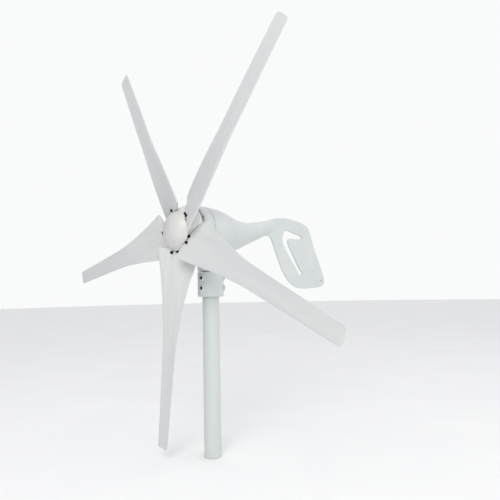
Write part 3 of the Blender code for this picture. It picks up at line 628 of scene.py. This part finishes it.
# ------------------------------------------------------------ generator body
UPPER_EDGE = ((0.080, 0.0750), (0.123, 0.0715), (0.158, 0.0640), (0.198, 0.0510),
              (0.230, 0.0440), (0.264, 0.0425), (0.309, 0.0480), (0.345, 0.0550),
              (0.385, 0.0640), (0.420, 0.0690))
LOWER_EDGE = ((0.080, -0.0750), (0.123, -0.0735), (0.165, -0.0640),
              (0.214, -0.0450), (0.290, -0.0146), (0.340, 0.0054),
              (0.380, 0.0250), (0.420, 0.0450))
SIDE_EDGE = ((0.080, 0.0750), (0.123, 0.0715), (0.158, 0.0610), (0.198, 0.0450),
             (0.240, 0.0310), (0.290, 0.0190), (0.340, 0.0105), (0.380, 0.0060),
             (0.420, 0.0034))
FIN_EDGE = ((0.330, 0.030), (0.372, 0.0615), (0.415, 0.0700), (0.457, 0.0712),
            (0.499, 0.0655), (0.535, 0.0575), (0.558, 0.0450), (0.573, 0.0130),
            (0.589, -0.0260), (0.611, -0.0720), (0.636, -0.1240),
            (0.638, -0.1480), (0.618, -0.1600), (0.568, -0.1645),
            (0.519, -0.1655), (0.483, -0.1590), (0.450, -0.1390),
            (0.425, -0.1100), (0.407, -0.0780), (0.391, -0.0440),
            (0.374, -0.0060), (0.362, 0.0070), (0.345, 0.0080))
FIN_SLOT = ((0.433, 0.0240), (0.450, 0.0290), (0.485, 0.0215), (0.518, 0.0135),
            (0.519, 0.0055), (0.490, 0.0035), (0.462, 0.0045), (0.452, -0.0030),
            (0.456, -0.0210), (0.482, -0.0620), (0.508, -0.1000),
            (0.522, -0.1130), (0.508, -0.1190), (0.478, -0.0850),
            (0.450, -0.0490), (0.429, -0.0200), (0.424, 0.0040))
FIN_HOLE = (0.620, -0.140, 0.0035)
BLEND = 0.004                     # over which the boom's side runs into the fin's
BLEND_END = 0.430
BODY_ROUND = 96


def body_row(station, wall=0.0):
    """An egg-shaped ring of points, narrowed by the wall."""
    top = between(station, UPPER_EDGE) - wall
    low = between(station, LOWER_EDGE) + wall
    side = between(station, SIDE_EDGE) - wall
    middle = (top + low) / 2
    half = (top - low) / 2
    return [CENTRE + Vector((side * math.cos(a), station, middle + half * math.sin(a)))
            for a in (2 * math.pi * i / BODY_ROUND for i in range(BODY_ROUND))]


def smooth_loop(points, steps):
    """Points on a closed Catmull-Rom curve through the given points."""
    count = len(points)
    out = []
    for i in range(count):
        p0, p1, p2, p3 = (Vector(points[(i + k) % count]) for k in (-1, 0, 1, 2))
        for j in range(steps):
            t = j / steps
            out.append(0.5 * ((2 * p1) + (p2 - p0) * t
                              + (2 * p0 - 5 * p1 + 4 * p2 - p3) * t * t
                              + (3 * p1 - p0 - 3 * p2 + p3) * t ** 3))
    return [tuple(p) for p in out]


def fin_half(station, height):
    """Half the fin's thickness, with a fillet where the boom stands out of it."""
    flat = FIN_THICKNESS / 2
    top = between(station, UPPER_EDGE)
    low = between(station, LOWER_EDGE)
    reach = (height - (top + low) / 2) / ((top - low) / 2)
    boom = between(station, SIDE_EDGE) * math.sqrt(max(0.0, 1 - reach ** 2))
    if station > BLEND_END:
        return flat
    if boom - flat > BLEND:
        return boom - 0.0004
    share = max(0.0, BLEND - abs(boom - flat)) / BLEND
    return max(boom, flat) + share ** 2 * BLEND / 4


def fin_mesh():
    """The fin's plate, with rounded edges round its outline, slot and hole."""
    x, z, radius = FIN_HOLE
    hole = [(x + radius * math.cos(a), z + radius * math.sin(a))
            for a in (2 * math.pi * i / 32 for i in range(32))]
    curve = bpy.data.curves.new("fin_outline", "CURVE")
    curve.dimensions = "2D"
    curve.fill_mode = "BOTH"
    curve.extrude = FIN_THICKNESS / 2 - FIN_EDGE_ROUND
    curve.bevel_depth = FIN_EDGE_ROUND
    curve.bevel_resolution = 4
    curve.offset = -FIN_EDGE_ROUND
    for loop in (smooth_loop(FIN_EDGE, 9), smooth_loop(FIN_SLOT, 9), hole):
        spline = curve.splines.new("POLY")
        spline.points.add(len(loop) - 1)
        for point, (a, b) in zip(spline.points, loop):
            point.co = (a, b, 0, 1)
        spline.use_cyclic_u = True
    guide = bpy.data.objects.new("fin_outline", curve)
    bpy.context.scene.collection.objects.link(guide)
    bpy.context.view_layer.update()
    graph = bpy.context.evaluated_depsgraph_get()
    mesh = bpy.data.meshes.new_from_object(guide.evaluated_get(graph))
    bpy.data.objects.remove(guide, do_unlink=True)
    work = bmesh.new()
    work.from_mesh(mesh)
    bmesh.ops.remove_doubles(work, verts=work.verts, dist=2e-6)
    bmesh.ops.triangulate(work, faces=work.faces)
    for longest in (0.024, 0.012, 0.006, 0.004):
        near = [e for e in work.edges if e.calc_length() > longest
                and min(v.co.x for v in e.verts) < BLEND_END
                and all(abs(v.co.z) > FIN_THICKNESS / 2 - 1e-6 for v in e.verts)]
        bmesh.ops.subdivide_edges(work, edges=near, cuts=1)
        bmesh.ops.triangulate(work, faces=work.faces)
    for vert in work.verts:
        if abs(vert.co.z) > FIN_THICKNESS / 2 - 1e-6:
            vert.co.z = math.copysign(fin_half(vert.co.x, vert.co.y), vert.co.z)
    upright = Matrix(((0, 0, 1, 0), (1, 0, 0, CENTRE.y), (0, 1, 0, CENTRE.z), (0, 0, 0, 1)))
    bmesh.ops.transform(work, matrix=upright, verts=work.verts)
    work.to_mesh(mesh)
    work.free()
    return mesh


def under_body(x, y):
    """Height of the body's underside over a point."""
    station = y - CENTRE.y
    top = between(station, UPPER_EDGE)
    low = between(station, LOWER_EDGE)
    side = between(station, SIDE_EDGE)
    share = math.sqrt(max(0.0, 1 - (x / side) ** 2))
    return CENTRE.z + (top + low) / 2 - (top - low) / 2 * share


def neck_rows():
    """The neck: a round sleeve that flares out into the body's underside."""
    sides = 96
    fillet = 0.009
    turns = [2 * math.pi * i / sides for i in range(sides)]

    def level(radius, z):
        return [Vector((radius * math.cos(a), radius * math.sin(a), z)) for a in turns]

    foot = [(YAW_RACE, 0.5548), (YAW_RACE, NECK_BOTTOM), (COLLAR_RADIUS, NECK_BOTTOM),
            (COLLAR_RADIUS, 0.530)]
    rows = [level(r, z) for r, z in rounded(foot, 0.0012, 3)]
    for k in range(9):
        t = k / 8
        row = []
        for a in turns:
            room = 0.0374 / max(abs(math.sin(a)), 0.1) - COLLAR_RADIUS if math.sin(a) < 0 else 1.0
            reach = min(max(room, 0.0002), fillet)
            near = under_body(COLLAR_RADIUS * math.cos(a), COLLAR_RADIUS * math.sin(a))
            far = COLLAR_RADIUS + reach
            end = under_body(far * math.cos(a), far * math.sin(a)) + 0.0004
            radius = (1 - t) ** 2 * COLLAR_RADIUS + 2 * t * (1 - t) * COLLAR_RADIUS + t * t * far
            z = (1 - t) ** 2 * (near - reach) + 2 * t * (1 - t) * near + t * t * end
            row.append(Vector((radius * math.cos(a), radius * math.sin(a), z)))
        rows.append(row)
    return rows + [level(0.034, 0.5660), level(0.0205, 0.5600), level(0.0205, 0.5548)]


def make_rear_body():
    """One casting: the generator housing, the neck, the boom and the fin."""
    edge = 0.0010
    front = [(BODY_FRONT + edge * (1 - math.cos(a)), edge * (1 - math.sin(a)))
             for a in (math.radians(90 * k / 4) for k in range(4))]
    outer = [body_row(station, wall) for station, wall in front]
    outer += [body_row(BODY_FRONT + edge + (0.410 - BODY_FRONT - edge) * i / 80)
              for i in range(81)]
    work = bmesh.new()
    skin(work, outer, caps=True)
    body = piece("rear_body_casting", work, BODY_PAINT, None, 40)

    work = bmesh.new()
    skin(work, [body_row(0.121 + 0.0169 * i, BODY_WALL) for i in range(11)], caps=True)
    tools = [piece("cutter", work, BODY_PAINT)]
    tools.append(rod(0.0620, 0.088, 0.130, ROTOR, 96))
    tools.append(rod(STATOR_RADIUS, 0.060, 0.0983, ROTOR, 96))
    tools.append(rod(0.0300, 0.500, 0.590))
    spot = CENTRE + Vector((between(0.225, SIDE_EDGE), 0.225, 0.010))
    tools.append(rod(0.0032, -0.0022, 0.01, along(spot, (1, 0, 0)), 32))
    cut(body, tools, 0.0005, 40)

    work = bmesh.new()
    work.from_mesh(body.data)
    work.from_mesh(fin_mesh())
    bmesh.ops.remove_doubles(work, verts=work.verts, dist=2e-6)
    skin(work, neck_rows(), loop=True)
    lip = [(BODY_RADIUS - 0.0018, SEAM + 0.0003), (BODY_RADIUS - 0.0018, 0.084),
           (STATOR_RADIUS, 0.084), (STATOR_RADIUS, SEAM + 0.0003)]
    lathe(work, rounded(lip, 0.0004, 2, True), ROTOR, 96, True)
    post = bmesh.ops.create_cube(work, size=1.0)["verts"]
    bmesh.ops.scale(work, vec=(0.020, 0.0095, 0.040), verts=post)
    bmesh.ops.translate(work, vec=(0, 0.03925, 0.570), verts=post)
    whole = piece("rear_body_whole", work, BODY_PAINT, None, 40)
    bpy.data.objects.remove(body, do_unlink=True)
    stand_in(whole, "nacelle", "rear_body")


def shell_screw_place(angle, station):
    a = math.radians(angle)
    return CENTRE + Vector((SHELL_SCREW_CIRCLE * math.cos(a), station,
                            SHELL_SCREW_CIRCLE * math.sin(a)))


def make_front_shell():
    """The front cover: a rounded cup with the front bearing's boss."""
    edge = 0.007
    rim = [(BODY_RADIUS - edge + edge * math.sin(a), SHELL_FRONT + edge - edge * math.cos(a))
           for a in (math.radians(90 * i / 10) for i in range(11))]
    profile = [(BEARING_RADIUS, SHELL_FRONT + 0.0006), (BEARING_RADIUS + 0.0006, SHELL_FRONT)]
    profile += rim
    profile += [(BODY_RADIUS, SEAM - 0.0011), (BODY_RADIUS - 0.0003, SEAM - 0.0005),
                (BODY_RADIUS - 0.0008, SEAM - 0.0003), (STATOR_RADIUS, SEAM - 0.0003),
                (STATOR_RADIUS, 0.0515), (0.0270, 0.0515), (0.0260, 0.0622), (0.0125, 0.0622),
                (0.0125, 0.0613), (BEARING_RADIUS, 0.0613)]
    work = bmesh.new()
    lathe(work, profile, ROTOR, ROUND, True)
    shell = piece("front_shell_casting", work, BODY_PAINT)
    tools = []
    for angle in SHELL_SCREW_ANGLES:
        place = along(shell_screw_place(angle, 0), (0, 1, 0))
        tools.append(rod(0.0023, 0.040, 0.090, place, 24))
        tools.append(rod(0.0039, 0.040, SHELL_SCREW_SEAT + 0.0003, place, 32))
    cut(shell, tools, 0.0003)
    stand_in(shell, "nacelle", "front_shell")
    for i, angle in enumerate(SHELL_SCREW_ANGLES):
        work = bmesh.new()
        socket_screw(work, 0.0036, 0.0036, 0.0020, 0.042, 0.0019, 0.0018)
        place = along(shell_screw_place(angle, SHELL_SCREW_SEAT), (0, -1, 0))
        screw = piece(f"shell_screw_fine_{i + 1}", work, BALL_STEEL, place)
        stand_in(screw, "nacelle", f"shell_screw_{i + 1}")


# ------------------------------------------------------------ mast and collar
def make_mast():
    inner = MAST_RADIUS - MAST_WALL
    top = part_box("mast_tube")[1].z
    profile = [(inner, 0.0), (MAST_RADIUS, 0.0), (MAST_RADIUS, top), (inner, top)]
    work = bmesh.new()
    lathe(work, rounded(profile, 0.0007, 3, True), None, ROUND, True)
    stand_in(piece("mast_pole", work, MAST_PAINT), "mast", "mast_tube")


def boss_rows(angle, height):
    """A round boss that grows out of the collar, with a screw hole through it."""
    fillet = 0.0022
    edge = 0.0009
    out = outward(angle)
    side = Vector((-out.y, out.x, 0))
    hole = SET_SCREW_RADIUS + 0.0003
    fixed = [(hole, 0.0262), (hole, BOSS_TOP - 0.0006), (hole + 0.0006, BOSS_TOP)]
    fixed += [(BOSS_ROUND - edge + edge * math.sin(t), BOSS_TOP - edge + edge * math.cos(t))
              for t in (math.radians(22.5 * k) for k in range(5))]
    foot = [(BOSS_ROUND + fillet * (1 - math.cos(t)), fillet * (1 - math.sin(t)))
            for t in (math.radians(15 * k) for k in range(7))]
    turns = [2 * math.pi * i / 48 for i in range(48)]

    def place(radius, turn, depth):
        across = radius * math.cos(turn)
        return out * depth + side * across + Vector((0, 0, height + radius * math.sin(turn)))

    rows = [[place(r, t, d) for t in turns] for r, d in fixed]
    for radius, rise in foot:
        rows.append([place(radius, t, rise - 0.0001 + math.sqrt(
            COLLAR_RADIUS ** 2 - (radius * math.cos(t)) ** 2)) for t in turns])
    rows.append([place(foot[-1][0] - 0.0010, t, 0.0345) for t in turns])
    return rows


def make_collar():
    """The clamp sleeve, with a boss round each of its set screws."""
    bore = MAST_RADIUS + 0.0003
    stem = 0.0137
    under = COLLAR_TOP - COLLAR_PLATE
    profile = [(bore, COLLAR_BOTTOM), (COLLAR_RADIUS, COLLAR_BOTTOM), (COLLAR_RADIUS, COLLAR_TOP),
               (0.0160, COLLAR_TOP), (0.0160, 0.5232), (stem, 0.5232), (stem, under), (bore, under)]
    work = bmesh.new()
    lathe(work, rounded(profile, 0.0026, 5, True), None, ROUND, True)
    collar = piece("collar_sleeve", work, BODY_PAINT)
    tools = []
    for angle in SET_SCREW_ANGLES:
        tools += [rod(0.0072, 0.018, 0.05, along((0, 0, z), outward(angle)), 32)
                  for z in SET_SCREW_HEIGHTS]
    cut(collar, tools)
    work = bmesh.new()
    work.from_mesh(collar.data)
    for angle in SET_SCREW_ANGLES:
        for z in SET_SCREW_HEIGHTS:
            skin(work, boss_rows(angle, z))
    whole = piece("collar_casting", work, BODY_PAINT)
    bpy.data.objects.remove(collar, do_unlink=True)
    stand_in(whole, "mast", "yaw_collar")


def make_set_screws():
    number = 0
    for angle in SET_SCREW_ANGLES:
        out = outward(angle)
        for z in SET_SCREW_HEIGHTS:
            number += 1
            work = bmesh.new()
            socket_screw(work, SET_SCREW_RADIUS, 0.0120, SET_SCREW_RADIUS - 0.0002, 0.0010,
                         0.0028, 0.0040)
            screw = piece(f"collar_screw_fine_{number}", work, DARK_STEEL_AND_SHADE,
                          along(out * (MAST_RADIUS + 0.0013) + Vector((0, 0, z)), out))
            stand_in(screw, "mast", f"collar_screw_{number}")


# ----------------------------------------------------------- pieces as packed
def finish_packed_nodes():
    """Give each CAD node that still shows its material."""
    looks = {"bearing_plate": CAST_METAL, "stator_core": IRON, "magnet_rotor": IRON,
             "stator_winding": COPPER, "front_seal": RUBBER, "yaw_seal": RUBBER,
             "slip_ring_drum": RESIN, "brush_holder": RESIN, "yaw_shaft": STEEL_Z,
             "yaw_nut": STEEL_Z, "rotor_shaft": STEEL_Y, "hub_nut": STEEL_Y}
    for name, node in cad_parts.items():
        if name in looks:
            material = looks[name]
        elif name.endswith("_balls"):
            material = BALL_STEEL
        elif name.startswith("yaw_bearing"):
            material = STEEL_Z
        elif "_bearing_" in name:
            material = STEEL_Y
        elif name.startswith("slip_ring"):
            material = BRASS
        elif name.startswith("brush_"):
            material = CARBON
        else:
            continue
        node.data.materials.clear()
        node.data.materials.append(material)


# ----------------------------------------------------------- floor and light
SHADE_SIDE = (-0.66, -0.75, 0.0)  # the dim, bluish side of the studio
SHADE_START = 0.30                # cosine of the angle from it where the dimming starts
SKY = (0.93, 0.935, 0.94, 1)
SHADE = (0.06, 0.07, 0.18, 1)
BACKDROP = (0.955, 0.96, 0.965, 1)
FLOOR_RINGS = (0, 0.5, 2, 14)
FLOOR_LEVEL = -0.0006             # just below the mast's end


def make_floor():
    work = bmesh.new()
    lathe(work, [(radius, FLOOR_LEVEL) for radius in FLOOR_RINGS], None, 64)
    material, tree, shader = start_material("floor_paper")
    tint(tree, shader, noise(tree, 3, 3), (0.90, 0.90, 0.90), (0.925, 0.925, 0.92))
    polish(tree, shader, noise(tree, 12, 3), 0.75, 0.85)
    piece("floor", work, material)


def area_light(name, place, size, power, colour):
    data = bpy.data.lights.new(name, "AREA")
    data.shape = "DISK"
    data.size = size
    data.energy = power
    data.color = colour
    lamp = bpy.data.objects.new(name, data)
    bpy.context.scene.collection.objects.link(lamp)
    lamp.location = place
    lamp.rotation_euler = (CENTRE - Vector(place)).to_track_quat("-Z", "Y").to_euler()


def make_lights():
    area_light("key", (1.7, -2.1, 2.2), 1.8, 38, (1.0, 0.99, 0.97))
    area_light("rim", (1.6, 2.2, 2.4), 2.0, 6, (1.0, 1.0, 1.0))


def make_world():
    """A pale sky, dim on one side, behind a plain backdrop that only the camera sees."""
    world = bpy.data.worlds.new("studio")
    world.use_nodes = True
    bpy.context.scene.world = world
    tree = world.node_tree
    place = tree.nodes.new("ShaderNodeTexCoord")
    side = tree.nodes.new("ShaderNodeVectorMath")
    side.operation = "DOT_PRODUCT"
    side.inputs[1].default_value = SHADE_SIDE
    spread = tree.nodes.new("ShaderNodeMapRange")
    spread.interpolation_type = "SMOOTHSTEP"
    spread.inputs["From Min"].default_value = SHADE_START
    spread.inputs["From Max"].default_value = 1.0
    ramp = tree.nodes.new("ShaderNodeValToRGB")
    ramp.color_ramp.elements[0].color = SKY
    ramp.color_ramp.elements[1].color = SHADE
    tree.links.new(place.outputs["Generated"], side.inputs[0])
    tree.links.new(side.outputs["Value"], spread.inputs["Value"])
    tree.links.new(spread.outputs["Result"], ramp.inputs["Fac"])
    glow = tree.nodes["Background"]
    tree.links.new(ramp.outputs["Color"], glow.inputs["Color"])
    backdrop = tree.nodes.new("ShaderNodeBackground")
    backdrop.inputs["Color"].default_value = BACKDROP
    seen = tree.nodes.new("ShaderNodeLightPath")
    pick = tree.nodes.new("ShaderNodeMixShader")
    tree.links.new(seen.outputs["Is Camera Ray"], pick.inputs[0])
    tree.links.new(glow.outputs[0], pick.inputs[1])
    tree.links.new(backdrop.outputs[0], pick.inputs[2])
    tree.links.new(pick.outputs[0], tree.nodes["World Output"].inputs["Surface"])


# -------------------------------------------------------------------- camera
CAMERA_PLACE = Vector((1.0857, -0.8684, 0.4682))
CAMERA_HEADING = math.radians(46.60)   # of its view, left of +Y
CAMERA_RISE = math.radians(4.44)
CAMERA_ROLL = math.radians(-1.15)
CAMERA_LENS = 34.63               # in millimetres, on a sensor 36 wide
CAMERA_SENSOR = 36.0


def make_camera():
    data = bpy.data.cameras.new("camera")
    data.sensor_width = CAMERA_SENSOR
    data.lens = CAMERA_LENS
    camera = bpy.data.objects.new("camera", data)
    bpy.context.scene.collection.objects.link(camera)
    ahead = Vector((-math.sin(CAMERA_HEADING) * math.cos(CAMERA_RISE),
                    math.cos(CAMERA_HEADING) * math.cos(CAMERA_RISE), math.sin(CAMERA_RISE)))
    right = ahead.cross(Vector((0, 0, 1))).normalized()
    up = right.cross(ahead)
    roll = Matrix.Rotation(CAMERA_ROLL, 3, "Z")
    turn = Matrix((right, up, -ahead)).transposed() @ roll
    camera.matrix_world = Matrix.Translation(CAMERA_PLACE) @ turn.to_4x4()
    bpy.context.scene.camera = camera


make_camera()
for blade_number in range(BLADES):
    make_blade(blade_number)
make_blade_bolts()
make_hub()
make_dome()
make_rear_body()
make_front_shell()
make_mast()
make_collar()
make_set_screws()
finish_packed_nodes()
make_floor()
make_lights()
make_world()
bpy.context.scene.view_settings.view_transform = "Standard"
